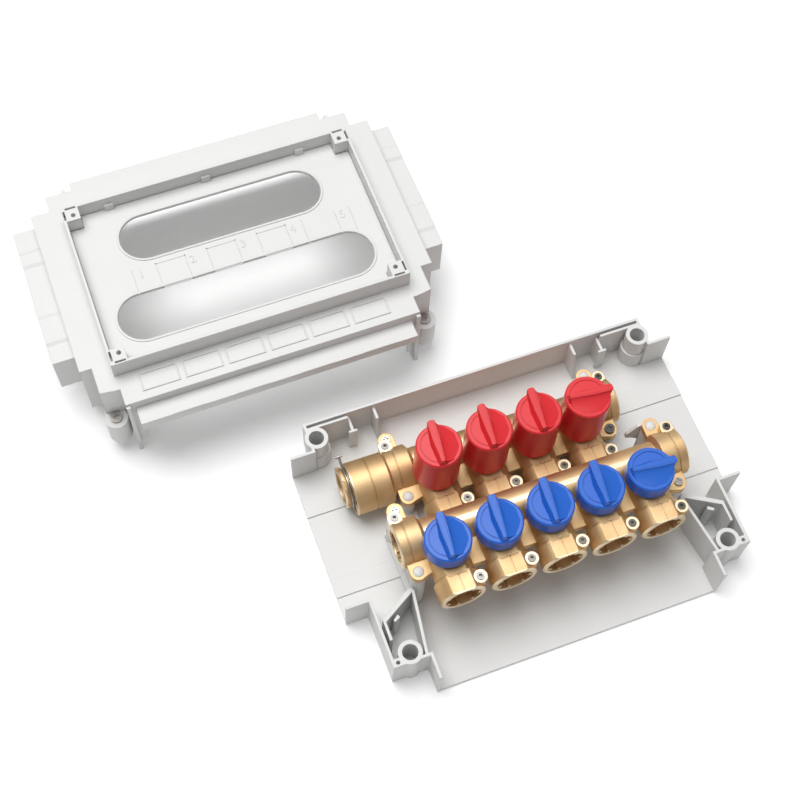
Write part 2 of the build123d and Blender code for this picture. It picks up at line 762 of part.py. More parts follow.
# Pipe brackets
def bracket(side, hot_x, cold_x):
    """The bracket under the lugs of one side, with its pegs and screw holes."""
    hot_y, cold_y = hot_pipe_y, cold_pipe_y
    hot_seat, cold_seat = hot_axis_z - lug_half, cold_axis_z - lug_half
    base = floor_top + step_rise
    with BuildPart() as piece:
        plate = (base, bracket_floor)
        block((hot_x - pillar_r, hot_x + pillar_r), (hot_y - lug_offset, hot_y + lug_offset), plate)
        far = cold_x + side * pillar_r
        near = cold_x - side * pillar_r
        span = sorted((far, near))
        block(span, (cold_y - lug_offset, cold_y + lug_offset), plate)
        join = sorted((hot_x - side * pillar_r, far))
        join_y = cold_y + lug_offset
        block(join, (join_y - pillar_r, join_y + pillar_r), plate)
        link = (hot_x - pillar_r, hot_x + pillar_r)
        block(link, (join_y - pillar_r, hot_y - lug_offset), plate)
        rib_x = (cold_x - bracket_rib / 2, cold_x + bracket_rib / 2)
        rib_z = (base, cold_axis_z - socket_r - bracket_rib_gap)
        block(rib_x, (cold_y - lug_offset, cold_y + lug_offset), rib_z)
        for seat, x, y in ((hot_seat, hot_x, hot_y), (cold_seat, cold_x, cold_y)):
            for end in (-1, 1):
                top_y = y + end * lug_offset
                post(x, top_y, pillar_r, base, seat)
                if end == side:
                    peg_top = seat + 2 * lug_half
                    post(x, top_y, peg_r, seat, peg_top)
                    ball_radius = (peg_r**2 + peg_dome**2) / (2 * peg_dome)
                    with BuildSketch(Plane((x, top_y, 0), x_dir=(1, 0, 0), z_dir=(0, -1, 0))) as dome:
                        with BuildLine():
                            ThreePointArc(
                                (0, peg_top + peg_dome),
                                (
                                    peg_r / 2,
                                    peg_top + peg_dome - ball_radius + (ball_radius**2 - peg_r**2 / 4) ** 0.5,
                                ),
                                (peg_r, peg_top),
                            )
                            Line((peg_r, peg_top), (0, peg_top))
                            Line((0, peg_top), (0, peg_top + peg_dome))
                        make_face()
                    revolve(dome.sketch, axis=Axis((x, top_y, 0), (0, 0, 1)))
                else:
                    low = seat + 2 * lug_half - screw_depth - 1
                    post(x, top_y, screw_r + running_gap, low, seat, mode=Mode.SUBTRACT)
        if side > 0:
            fin_plane = Plane((0, bracket_fin_y[1], 0), x_dir=(1, 0, 0), z_dir=(0, -1, 0))
            fin_thick = bracket_fin_y[1] - bracket_fin_y[0]
            slab(bracket_fin, 0, fin_thick, fin_plane)
            post(*bracket_fin_hole, bracket_fin_hole_r, 0, fin_thick, fin_plane, Mode.SUBTRACT)
    return piece


left_bracket = bracket(-1, hot_lugs[0], cold_lugs[0])
finish(left_bracket, "left_bracket")
right_bracket = bracket(1, hot_lugs[1], cold_lugs[1])
finish(right_bracket, "right_bracket")


# Screws
def cross_screws(places, head_r, shaft_r, depth, plane=Plane.XY):
    """Pan head screws with a cross recess; each place is x, y and seat height."""
    with BuildPart() as screws:
        for x, y, seat in places:
            post(x, y, shaft_r, seat - depth, seat, plane)
            post(x, y, head_r, seat, seat + screw_head_height, plane)
        for x, y, seat in places:
            top = seat + screw_head_height
            long, wide = cross_length / 2, cross_width / 2
            block((x - long, x + long), (y - wide, y + wide), (top - cross_depth, top), plane, Mode.SUBTRACT)
            block((x - wide, x + wide), (y - long, y + long), (top - cross_depth, top), plane, Mode.SUBTRACT)
    return screws


lug_screw_places = [
    (hot_lugs[0], hot_pipe_y + lug_offset, hot_axis_z + lug_half),
    (cold_lugs[0], cold_pipe_y + lug_offset, cold_axis_z + lug_half),
    (cold_lugs[1], cold_pipe_y - lug_offset, cold_axis_z + lug_half),
]
finish(cross_screws(lug_screw_places, screw_head_r, screw_r, screw_depth), "lug_screws")
black_place = [(hot_lugs[1], hot_pipe_y - lug_offset, hot_axis_z + lug_half)]
finish(cross_screws(black_place, black_head_r, screw_r, screw_depth), "black_lug_screw")

# Cover frame
full_outline = step_outline + [(-x, y) for x, y in reversed(step_outline[1:-1])]


with BuildPart() as cover_frame:
    slab(full_outline, skirt_foot, shelf_top, cover_plane)
    with BuildSketch(cover_plane.offset(skirt_foot)) as hollow:
        with BuildLine():
            Polyline(*full_outline, close=True)
        make_face()
        offset(amount=-cover_wall, kind=Kind.INTERSECTION)
    extrude(hollow.sketch, amount=shelf_top - cover_wall - skirt_foot, mode=Mode.SUBTRACT)
    inner_x = collar_half_x - cover_wall
    inner_y = (collar_y[0] + cover_wall, collar_y[1] - cover_wall)
    block((-collar_half_x, collar_half_x), collar_y, (shelf_top - cover_wall, collar_top), cover_plane)
    insert_foot = insert_top - cover_wall
    block((-inner_x, inner_x), inner_y, (insert_foot, collar_top), cover_plane, Mode.SUBTRACT)
    ledge_x = inner_x - ledge_width
    ledge_y = (inner_y[0] + ledge_width, inner_y[1] - ledge_width)
    block((-ledge_x, ledge_x), ledge_y, (shelf_top - cover_wall, insert_foot), cover_plane, Mode.SUBTRACT)
    block((-ledge_x, ledge_x), ledge_y, (skirt_foot, insert_foot), cover_plane, Mode.SUBTRACT)
    cover_front = step_outline[-1][1]
    band_x = (-band_half_x, band_half_x)
    block(band_x, (band_front, cover_front + cover_wall), (band_top - cover_wall, band_top), cover_plane)
    block(band_x, (band_front, band_front + cover_wall), (band_foot, band_top), cover_plane)
    mouth_y = (cover_front - cover_wall, cover_front + mouth_depth)
    block((-mouth_half_x, mouth_half_x), mouth_y, (skirt_foot, band_foot), cover_plane, Mode.SUBTRACT)
    for x in clip_places:
        clip_z = (insert_top + running_gap, clip_top)
        block((x - clip_half, x + clip_half), (inner_y[1] - clip_reach, inner_y[1]), clip_z, cover_plane)
    for side in (-1, 1):
        def side_block(x, y, z, mode=Mode.ADD):
            """A block of the cover on this side."""
            block(sorted((side * x[0], side * x[1])), y, z, cover_plane, mode)

        cheek_y = (band_front, cover_front + cover_wall)
        side_block((band_half_x - cover_wall, band_half_x), cheek_y, (band_foot, band_top))
        side_block(leg_x, leg_y, (0, shelf_top - cover_wall))
        side_block(tongue_x, tongue_y, (0, tongue_top))
        side_block(tongue_stem_x, tongue_stem_y, (skirt_foot, shelf_top - cover_wall))
        block_x = (inner_x - corner_block + cover_wall, inner_x + 0.5)
        for y_out, way in ((collar_y[1] - cover_wall, -1), (collar_y[0] + cover_wall, 1)):
            y_in = y_out + way * (corner_block - cover_wall)
            y_span = sorted((y_out - way * 0.5, y_in))
            side_block(block_x, y_span, (insert_foot - cover_wall, collar_top))
            hole_x = side * (inner_x - 5.6)
            hole_y = y_out + way * 6.0
            post(hole_x, hole_y, corner_hole_r, collar_top - 6, collar_top, cover_plane, Mode.SUBTRACT)
            slit_y = sorted((y_out + way * 1.2, y_out + way * 8.6))
            side_block((inner_x - 0.4, inner_x + 1.0), slit_y, (collar_top - 6, collar_top), Mode.SUBTRACT)
            slit_back = sorted((y_out - way * 1.0, y_out + way * 0.4))
            side_block((inner_x - 8.6, inner_x - 1.2), slit_back, (collar_top - 6, collar_top), Mode.SUBTRACT)
        side_block((base_half_x - cover_wall, wing_half_x), wing_y, (wing_top - cover_wall, wing_top))
        wing_x = (base_half_x - cover_wall, wing_half_x)
        side_block(wing_x, (wing_y[0], wing_y[0] + cover_wall), (wing_foot, wing_top))
        side_block(wing_x, (wing_y[1] - cover_wall, wing_y[1]), (wing_foot, wing_top))
        side_block(
            (base_half_x - cover_wall, base_half_x),
            (wing_y[0] + cover_wall, wing_y[1] - cover_wall),
            (skirt_foot, wing_top - cover_wall),
            Mode.SUBTRACT,
        )
        groove_y = wing_y[0] + wing_groove_pitch
        while groove_y < wing_y[1] - cover_wall:
            groove = (groove_y - wing_groove_width / 2, groove_y + wing_groove_width / 2)
            groove_z = (wing_top - wing_groove_depth, wing_top)
            side_block((base_half_x, wing_half_x), groove, groove_z, Mode.SUBTRACT)
            groove_y += wing_groove_pitch
        for x, y in (cover_front_lugs, cover_back_lugs):
            post(side * x, y, lug_tube_r, skirt_foot, lug_tube_top, cover_plane)
        for x, y in (cover_front_lugs, cover_back_lugs):
            low = skirt_foot + lug_floor
            post(side * x, y, lug_bore_r, skirt_foot, lug_tube_top - lug_floor, cover_plane, Mode.SUBTRACT)
            post(side * x, y, screw_r + running_gap, low, lug_tube_top, cover_plane, Mode.SUBTRACT)
    for x in label_centres:
        frame_x = (x - label_half_x, x + label_half_x)
        inside_x = (frame_x[0] + label_frame, frame_x[1] - label_frame)
        inside_y = (label_y[0] + label_frame, label_y[1] - label_frame)
        block(frame_x, label_y, (shelf_top, shelf_top + label_rise), cover_plane)
        block(inside_x, inside_y, (shelf_top, shelf_top + label_rise), cover_plane, Mode.SUBTRACT)
finish(cover_frame, "cover_frame")

with BuildPart() as cover_insert:
    insert_x = inner_x - insert_gap
    insert_y = (inner_y[0] + insert_gap, inner_y[1] - insert_gap)
    block((-insert_x, insert_x), insert_y, (insert_foot, insert_top), cover_plane)
    for half, y in (back_slot, front_slot):
        for width, low, high, mode in (
            (slot_width + 2 * slot_rim, insert_top, insert_top + slot_rim_rise, Mode.ADD),
            (slot_width, insert_foot, insert_top + slot_rim_rise, Mode.SUBTRACT),
        ):
            with BuildSketch(cover_plane.offset(low)) as slot:
                with Locations((0, y)):
                    SlotCenterToCenter(2 * half, width)
            extrude(slot.sketch, amount=high - low, mode=mode)
    for side in (-1, 1):
        for y in insert_y:
            way = -1 if y > 0 else 1
            cut = corner_block - cover_wall + insert_gap
            cut_x = sorted((side * (inner_x - cut), side * (inner_x + 1)))
            cut_y = sorted((y - way, y + way * cut))
            block(cut_x, cut_y, (insert_foot, insert_top), cover_plane, Mode.SUBTRACT)
finish(cover_insert, "cover_insert")

cover_screw_places = [
    (side * x, y, lug_tube_top) for side in (-1, 1) for x, y in (cover_front_lugs, cover_back_lugs)
]
finish(
    cross_screws(cover_screw_places, cover_screw_head_r, screw_r, cover_screw_depth, cover_plane),
    "cover_screws",
)
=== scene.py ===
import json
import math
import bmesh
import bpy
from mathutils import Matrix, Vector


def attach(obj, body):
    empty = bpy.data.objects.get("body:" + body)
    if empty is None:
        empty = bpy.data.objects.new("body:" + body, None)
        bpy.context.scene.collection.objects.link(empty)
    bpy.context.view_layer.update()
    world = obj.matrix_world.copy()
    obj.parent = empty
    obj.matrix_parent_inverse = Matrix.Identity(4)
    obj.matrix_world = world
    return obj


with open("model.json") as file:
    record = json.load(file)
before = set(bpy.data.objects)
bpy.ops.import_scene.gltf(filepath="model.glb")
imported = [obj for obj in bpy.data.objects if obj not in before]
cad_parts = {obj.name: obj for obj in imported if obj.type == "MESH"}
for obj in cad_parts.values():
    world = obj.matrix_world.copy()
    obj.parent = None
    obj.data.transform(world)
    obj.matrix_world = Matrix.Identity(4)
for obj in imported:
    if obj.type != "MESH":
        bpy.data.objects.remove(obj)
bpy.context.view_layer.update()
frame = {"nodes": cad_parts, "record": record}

# %% [markdown]
# # A heating manifold in its box
# A shallow grey box holds two brass pipes with ball valves: four red ones at the
# back, low down, and five blue ones in front of them, higher up. The cover lies
# beside it. The measured solids are already loaded as the frame, in metres, with
# +Z up, so everything here is placed by their numbers and nothing has to be fitted.

nodes = frame["nodes"]

# %% [markdown]
# ## Numbers of the two rows
# The valves of both rows stand at one pitch. These numbers are in millimetres, as on
# a drawing, and `mm` turns them into metres where a shape or a finish is made.

# %% The two rows
mm = 0.001
pitch = 35.0
hot_x = (-52.5, -17.5, 17.5, 52.5)
cold_x = (-70, -35, 0, 35, 70)
hot_y, cold_y = 31, -30
hot_z, cold_z = 22, 48
hot_ends = (-82.6, 84.6)
cold_ends = (-98.7, 103.0)
cold_pipe_y = cold_y + 15
mouth_reach = 32
mouth_flat = 13.5
boss_tops = (12.0, 10.5)
knob_face = 75.0
overlap = 0.1
print(len(hot_x), "red valves and", len(cold_x), "blue ones,", pitch, "mm apart")

# %% [markdown]
# ## Camera
# The photograph looks steeply down from the front left with a long lens. The place,
# the turn and the lens come from matching the posts, knobs and edges of the box.
# Three directions describe the camera fully: right, up and back.

# %% Camera
camera_place = (-0.22679, -0.29550, 0.88707)
lens = 62.40
film_width = 36
turn, height, roll = (math.radians(v) for v in (-23.889, 63.792, 3.913))
back = Vector((math.sin(turn) * math.cos(height), -math.cos(turn) * math.cos(height),
               math.sin(height)))
level = Vector((math.cos(turn), math.sin(turn), 0))
upright = back.cross(level)
right = level * math.cos(roll) + upright * math.sin(roll)
up = upright * math.cos(roll) - level * math.sin(roll)
camera = bpy.data.objects.new("camera", bpy.data.cameras.new("camera"))
facing = Matrix((right, up, back)).transposed().to_4x4()
camera.matrix_world = Matrix.Translation(camera_place) @ facing
camera.data.lens = lens
camera.data.sensor_width = film_width
bpy.context.collection.objects.link(camera)
bpy.context.scene.camera = camera
print("camera", lens, "mm lens,", round(camera.location.z, 3), "m above the floor")

# %% [markdown]
# ## Floor and light
# A studio table is a pale sheet under a large soft lamp. The floor is plain white and
# gets a little extra brightness only where the camera sees it, directly or in a
# reflection, so its shadows stay. The lamp hangs high at the back left, as the dark
# fronts and the bright left halves of the knobs show. The sky is dim at the horizon
# and brighter overhead, and white where the camera looks at it.

# %% Helpers for node trees
def adder(tree):
    """Empties a node tree and returns a function that adds nodes to it."""
    tree.nodes.clear()

    def add(kind, *given, **settings):
        """One node. A given pair is a socket or a plain value, and the input it goes into.

        A setting names a property of the node or, with _ for a space, one of its inputs.
        """
        node = tree.nodes.new(kind)
        for key, value in settings.items():
            if hasattr(node, key):
                setattr(node, key, value)
            else:
                node.inputs[key.replace("_", " ")].default_value = value
        for source, into in given:
            if isinstance(source, bpy.types.NodeSocket):
                tree.links.new(source, node.inputs[into])
            else:
                node.inputs[into].default_value = source
        return node

    return add


def new_material(name):
    """An empty material, and a function that adds nodes to it."""
    made = bpy.data.materials.new(name)
    made.use_nodes = True
    return made, adder(made.node_tree)


# %% Floor
floor_size = 8
floor_white = (0.9, 0.9, 0.9, 1)
floor_lift = 0.13
bpy.ops.mesh.primitive_plane_add(size=floor_size, location=(0, 0, 0))
floor = bpy.context.object
floor.name = "floor"
paper, add = new_material("white_paper")
ray = add("ShaderNodeLightPath").outputs
seen = add("ShaderNodeMath", (ray["Is Camera Ray"], 0), (ray["Is Glossy Ray"], 1),
           operation="MAXIMUM")
seen = add("ShaderNodeMath", (seen.outputs[0], 0), (ray["Is Transmission Ray"], 1),
           operation="MAXIMUM")
lift = add("ShaderNodeMath", (seen.outputs[0], 0), (floor_lift, 1), operation="MULTIPLY")
matt = add("ShaderNodeBsdfDiffuse", Color=floor_white)
glow = add("ShaderNodeEmission", (lift.outputs[0], "Strength"))
lit = add("ShaderNodeAddShader", (matt.outputs[0], 0), (glow.outputs[0], 1))
add("ShaderNodeOutputMaterial", (lit.outputs[0], "Surface"))
floor.data.materials.append(paper)
print("floor", floor_size, "m across")

# %% Lamp
lamp_place = Vector((-0.5, 0.95, 3.1))
lamp_aim = Vector((-0.07, 0.1, 0.03))
light = bpy.data.lights.new("key_lamp", "AREA")
light.size = 2.2
light.energy = 93
lamp = bpy.data.objects.new("key_lamp", light)
lamp.location = lamp_place
lamp.rotation_euler = (lamp_aim - lamp_place).to_track_quat("-Z", "Y").to_euler()
bpy.context.collection.objects.link(lamp)
print("one lamp", light.size, "m wide")

# %% Sky
horizon = 0.13
zenith = 0.56
white = (1, 1, 1, 1)
world = bpy.data.worlds.new("studio")
bpy.context.scene.world = world
world.use_nodes = True
add = adder(world.node_tree)
direction = add("ShaderNodeTexCoord")
rise = add("ShaderNodeSeparateXYZ", (direction.outputs["Generated"], 0))
bright = add("ShaderNodeMapRange", (rise.outputs[2], "Value"),
             From_Min=0.0, To_Min=horizon, To_Max=zenith)
soft = add("ShaderNodeBackground", (bright.outputs[0], "Strength"), Color=white)
plain = add("ShaderNodeBackground", Color=white)
seen = add("ShaderNodeLightPath")
pick = add("ShaderNodeMixShader", (seen.outputs["Is Camera Ray"], 0), (soft.outputs[0], 1),
           (plain.outputs[0], 2))
add("ShaderNodeOutputWorld", (pick.outputs[0], "Surface"))
bpy.context.scene.view_settings.view_transform = "Standard"
print("sky from", horizon, "to", zenith)

# %% [markdown]
# ## Finishes
# Moulded plastic is matt with a fine grain; its edges are never knife sharp, and the
# Bevel node rounds them for the light without changing the mesh. The knobs are the
# same plastic, a little smoother. Cast brass is rough from the sand mould, and
# bright only where it was cut: the ends of the pipes, the mouths of the outlets and
# the tops of the screw bosses. Those places are found by their planes and heights.

# %% Moulded plastics
def grained(add, noise, rough, spread, strength, depth, edge):
    """The roughness and the surface direction of a finely grained skin with rounded edges."""
    gloss = add("ShaderNodeMapRange", (noise, "Value"),
                To_Min=rough - spread, To_Max=rough + spread)
    round_edge = add("ShaderNodeBevel", samples=4, Radius=edge * mm)
    bump = add("ShaderNodeBump", (noise, "Height"), (round_edge.outputs[0], "Normal"),
               Strength=strength, Distance=depth * mm)
    return gloss.outputs[0], bump.outputs[0]


def plastic(name, colour, rough, grain, depth, edge):
    """A moulded plastic, its colour a little uneven."""
    made, add = new_material(name)
    place = add("ShaderNodeTexCoord").outputs["Object"]
    speckle = add("ShaderNodeTexNoise", (place, "Vector"), Scale=grain, Detail=3.0)
    cloud = add("ShaderNodeTexNoise", (place, "Vector"), Scale=38.0, Detail=2.0)
    tone = add("ShaderNodeMapRange", (cloud.outputs["Fac"], "Value"),
               To_Min=0.975, To_Max=1.02)
    shade = add("ShaderNodeMix", (1.0, 0), ((*colour, 1), 6), (tone.outputs[0], 7),
                data_type="RGBA", blend_type="MULTIPLY")
    gloss, bump = grained(add, speckle.outputs["Fac"], rough, 0.06, 0.25, depth, edge)
    skin = add("ShaderNodeBsdfPrincipled", (shade.outputs[2], "Base Color"),
               (gloss, "Roughness"), (bump, "Normal"))
    add("ShaderNodeOutputMaterial", (skin.outputs[0], "Surface"))
    return made


# colour, roughness, scale of the grain, then depth of the grain and edge radius in millimetres
plastics = {
    "grey_plastic": ((0.69, 0.69, 0.68), 0.5, 1400, 0.05, 0.6),
    "red_plastic": ((0.70, 0.022, 0.03), 0.33, 2200, 0.03, 0.3),
    "blue_plastic": ((0.015, 0.125, 0.58), 0.33, 2200, 0.03, 0.3),
    "seat_plastic": ((0.86, 0.85, 0.82), 0.4, 1500, 0.02, 0.2),
    "seal_rubber": ((0.02, 0.02, 0.02), 0.6, 1800, 0.04, 0.2),
}
finishes = {name: plastic(name, *look) for name, look in plastics.items()}
print(len(plastics), "plastics")


# %% Metals
def metal(name, colour, rough, grain, depth, edge):
    """A plain metal with a fine surface noise."""
    made, add = new_material(name)
    place = add("ShaderNodeTexCoord").outputs["Object"]
    fine = add("ShaderNodeTexNoise", (place, "Vector"), Scale=grain, Detail=4.0)
    gloss, bump = grained(add, fine.outputs["Fac"], rough, 0.08, 0.3, depth, edge)
    skin = add("ShaderNodeBsdfPrincipled", (gloss, "Roughness"), (bump, "Normal"),
               Base_Color=(*colour, 1), Metallic=1.0)
    add("ShaderNodeOutputMaterial", (skin.outputs[0], "Surface"))
    return made


# the same columns as for the plastics
metals = {
    "nickel": ((0.40, 0.38, 0.36), 0.3, 900, 0.02, 0.15),
    # a dark steel for the set screws, painted darker still to stand for the shade in their hex
    # sockets
    "screw_steel": ((0.17, 0.16, 0.15), 0.22, 900, 0.02, 0.15),
    "ball_chrome": ((0.78, 0.78, 0.80), 0.1, 900, 0.005, 0.15),
    "black_steel": ((0.10, 0.095, 0.09), 0.38, 1200, 0.02, 0.15),
}
for name, look in metals.items():
    finishes[name] = metal(name, *look)
print(len(metals), "plain metals")


# %% Cast brass
dark_brass = (0.66, 0.44, 0.22, 1)
light_brass = (0.80, 0.58, 0.33, 1)
cut_brass = (0.80, 0.66, 0.46, 1)
cut_depth = 0.9
boss_depth = 0.15


def cast_brass(name, planes, heights):
    """Sand cast brass, smoother and paler where it was cut.

    Cuts are planes, each given by its axis and its place, and level tops at these heights.
    """
    made, add = new_material(name)
    place = add("ShaderNodeTexCoord").outputs["Object"]
    split = add("ShaderNodeSeparateXYZ", (place, 0))
    normal = add("ShaderNodeNewGeometry").outputs["True Normal"]
    tilt = add("ShaderNodeSeparateXYZ", (normal, 0))

    def math_node(kind, *values):
        """The result of one sum on these sockets and plain numbers."""
        pairs = [(value, n) for n, value in enumerate(values)]
        return add("ShaderNodeMath", *pairs, operation=kind).outputs[0]

    cuts = []
    for axis, where in planes:
        cuts.append(math_node("COMPARE", split.outputs[axis], where * mm, cut_depth * mm))
    for where in heights:
        near = math_node("COMPARE", split.outputs["Z"], where * mm, boss_depth * mm)
        flat = math_node("GREATER_THAN", tilt.outputs["Z"], 0.98)
        cuts.append(math_node("MULTIPLY", near, flat))
    machined = cuts[0]
    for cut in cuts[1:]:
        machined = math_node("MAXIMUM", machined, cut)

    sand = add("ShaderNodeTexNoise", (place, "Vector"), Scale=1100.0, Detail=6.0, Roughness=0.65)
    patch = add("ShaderNodeTexNoise", (place, "Vector"), Scale=60.0, Detail=3.0)
    cast = add("ShaderNodeValToRGB", (patch.outputs["Fac"], "Fac"))
    dark, light = cast.color_ramp.elements
    dark.position, dark.color = 0.3, dark_brass
    light.position, light.color = 0.7, light_brass
    colour = add("ShaderNodeMix", (machined, 0), (cast.outputs[0], 6), (cut_brass, 7),
                 data_type="RGBA")
    gloss = add("ShaderNodeMapRange", (sand.outputs["Fac"], "Value"), To_Min=0.46, To_Max=0.62)
    smooth = add("ShaderNodeMix", (machined, 0), (gloss.outputs[0], 2), (0.42, 3),
                 data_type="FLOAT")
    round_edge = add("ShaderNodeBevel", samples=4, Radius=0.6 * mm)
    grain = math_node("MULTIPLY", sand.outputs["Fac"], math_node("SUBTRACT", 1.0, machined))
    bump = add("ShaderNodeBump", (grain, "Height"), (round_edge.outputs[0], "Normal"),
               Strength=0.6, Distance=0.2 * mm)
    skin = add("ShaderNodeBsdfPrincipled", (colour.outputs[2], "Base Color"),
               (smooth.outputs[0], "Roughness"), (bump.outputs[0], "Normal"), Metallic=1.0)
    add("ShaderNodeOutputMaterial", (skin.outputs[0], "Surface"))
    return made


finishes["hot_brass"] = cast_brass(
    "hot_brass", [("Y", hot_y - mouth_reach)] + [("X", end) for end in hot_ends],
    [hot_z + top for top in boss_tops])
finishes["cold_brass"] = cast_brass(
    "cold_brass", [("Y", cold_y - mouth_reach)] + [("X", end) for end in cold_ends],
    [cold_z + top for top in boss_tops])
finishes["brass"] = cast_brass("fitting_brass", [("X", -115), ("X", -109.4)], [])
print("three kinds of brass")

# %% Finishes go on the solids
slots = {part["node"]: part["material_slot"] for part in frame["record"]["subparts"]}
special = {}
for row in ("hot", "cold"):
    special[row + "_manifold"] = row + "_brass"
    # the set screws get the dark steel, whose darkness is also painted shade for their sockets
    special[row + "_outlet_grub_screws"] = "screw_steel"
    special[row + "_end_grub_screws"] = "screw_steel"
for name, solid in nodes.items():
    solid.data.materials.clear()
    solid.data.materials.append(finishes[special.get(name, slots[name])])
print("finishes on", len(nodes), "solids")

# %% [markdown]
# ## Driving ribs in the open mouths
# Each open mouth has a ring of short ribs inside, which grip the fitting that goes in.
# One node tree makes them: a circle of ribs, and that circle again at every outlet of
# a row. Its sizes are named inputs, so the three rows share the tree.

# %% The tree of the ribs
def rib_tree():
    """Ribs around a circle, and that circle repeated along a row."""
    made = bpy.data.node_groups.new("mouth_ribs", "GeometryNodeTree")
    face = made.interface
    kinds = {"Ribs": "NodeSocketInt", "Radius": "NodeSocketFloat",
             "Rib Size": "NodeSocketVector", "Mouths": "NodeSocketInt",
             "Pitch": "NodeSocketVector", "Turn": "NodeSocketVector",
             "Place": "NodeSocketVector", "Finish": "NodeSocketMaterial"}
    for label, kind in kinds.items():
        face.new_socket(name=label, in_out="INPUT", socket_type=kind)
    face.new_socket(name="Geometry", in_out="OUTPUT", socket_type="NodeSocketGeometry")
    add = adder(made)
    given = add("NodeGroupInput").outputs
    ring = add("GeometryNodeMeshCircle", (given["Ribs"], "Vertices"),
               (given["Radius"], "Radius"))
    rib = add("GeometryNodeMeshCube", (given["Rib Size"], "Size"))
    spot = add("GeometryNodeInputPosition")
    aim = add("FunctionNodeAlignRotationToVector", (spot.outputs[0], "Vector"), axis="X")
    circle = add("GeometryNodeInstanceOnPoints", (ring.outputs[0], "Points"),
                 (rib.outputs[0], "Instance"), (aim.outputs[0], "Rotation"))
    turned = add("GeometryNodeTransform", (circle.outputs[0], "Geometry"),
                 (given["Turn"], "Rotation"))
    row = add("GeometryNodeMeshLine", (given["Mouths"], "Count"), (given["Pitch"], "Offset"))
    mouths = add("GeometryNodeInstanceOnPoints", (row.outputs[0], "Points"),
                 (turned.outputs[0], "Instance"))
    placed = add("GeometryNodeTransform", (mouths.outputs[0], "Geometry"),
                 (given["Place"], "Translation"))
    whole = add("GeometryNodeRealizeInstances", (placed.outputs[0], "Geometry"))
    dressed = add("GeometryNodeSetMaterial", (whole.outputs[0], "Geometry"),
                  (given["Finish"], "Material"))
    add("NodeGroupOutput", (dressed.outputs[0], 0))
    return made


def grown(name, group, values):
    """A plain mesh object made by a node group with these input values."""
    host = bpy.data.objects.new(name + "_host", bpy.data.meshes.new(name + "_host"))
    bpy.context.collection.objects.link(host)
    modifier = host.modifiers.new("nodes", "NODES")
    modifier.node_group = group
    for item in group.interface.items_tree:
        if item.item_type == "SOCKET" and item.in_out == "INPUT":
            modifier[item.identifier] = values[item.name]
    evaluated = host.evaluated_get(bpy.context.evaluated_depsgraph_get())
    mesh = bpy.data.meshes.new_from_object(evaluated)
    bpy.data.objects.remove(host)
    made = bpy.data.objects.new(name, mesh)
    bpy.context.collection.objects.link(made)
    return made


# %% Ribs in every mouth
ribs = rib_tree()
rib_count = 7
rib_size = (3.0 * mm, 2.0 * mm, 7.0 * mm)
rib_inset = 4
mouth_radius = 11.4
end_radius = 10.4
across_y = (math.pi / 2, 0, 0)
across_x = (0, math.pi / 2, 0)
rib_rows = (
    ("cold_mouth_ribs", len(cold_x), (cold_x[0], cold_y - mouth_reach + rib_inset, cold_z),
     across_y, mouth_radius, "cold_brass"),
    ("hot_mouth_ribs", len(hot_x), (hot_x[0], hot_y - mouth_reach + rib_inset, hot_z),
     across_y, mouth_radius, "hot_brass"),
    ("cold_end_ribs", 1, (cold_ends[0] + rib_inset, cold_pipe_y, cold_z),
     across_x, end_radius, "cold_brass"),
)
for name, mouths, place, turned, radius, finish in rib_rows:
    row = grown(name, ribs, {
        "Ribs": rib_count, "Radius": radius * mm, "Rib Size": rib_size, "Mouths": mouths,
        "Pitch": (pitch * mm, 0, 0), "Turn": turned, "Place": tuple(v * mm for v in place),
        "Finish": finishes[finish]})
    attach(row, "box")
    print(name, len(row.data.polygons), "faces")

# %% [markdown]
# ## Finger grips of the knobs
# Each knob has a ridge to turn it by. Its left wall is steep and its right side runs
# out in a hollow slope as far as the rim. The grip is a stack of outlines from the
# knob's face to the crest, and it turns with its own valve.

# %% Outlines of a grip
# The corners run from the back left forwards along the steep wall, then back on the right.
grip_foot = [(-2.8, 15.0), (-5.4, 2.0), (-5.0, -13.0),
             (5.6, -12.7), (12.6, -4.5), (12.8, 4.5), (8.3, 11.2)]
grip_crest = [(-2.5, 16.2), (-3.3, 2.0), (-3.1, -12.4),
              (-0.8, -12.8), (0.5, -4.0), (1.7, 5.0), (2.5, 16.2)]
steep_corners = 3
grip_levels = 6
grip_rise = 4.4
sharpest_smooth = math.radians(28)


# %% Finger grips
def shaped(name, shape, finish):
    """An object with the mesh of this bmesh, in one finish."""
    mesh = bpy.data.meshes.new(name)
    shape.to_mesh(mesh)
    shape.free()
    mesh.materials.append(finish)
    made = bpy.data.objects.new(name, mesh)
    bpy.context.collection.objects.link(made)
    return made


def finger_grip(valve, x, y, closed, finish):
    """The grip of the knob around x and y. A closed one is turned a quarter clockwise."""
    shape = bmesh.new()
    rings = []
    for level in range(grip_levels):
        part = level / (grip_levels - 1)
        z = knob_face - overlap + grip_rise * part
        ring = []
        for n, (foot, crest) in enumerate(zip(grip_foot, grip_crest)):
            blend = part if n < steep_corners else 1 - (1 - part) ** 2
            across = foot[0] + (crest[0] - foot[0]) * blend
            along = foot[1] + (crest[1] - foot[1]) * part
            if closed:
                across, along = along, -across
            ring.append(shape.verts.new(Vector((x + across, y + along, z)) * mm))
        rings.append(ring)
    count = len(grip_foot)
    for low, high in zip(rings, rings[1:]):
        for n in range(count):
            after = (n + 1) % count
            side = shape.faces.new((low[n], low[after], high[after], high[n]))
            side.smooth = True
    shape.faces.new(rings[-1])
    shape.faces.new(list(reversed(rings[0])))
    bmesh.ops.recalc_face_normals(shape, faces=shape.faces)
    for edge in shape.edges:
        edge.smooth = edge.calc_face_angle(0) < sharpest_smooth
    made = shaped(valve + "_grip", shape, finish)
    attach(made, valve)


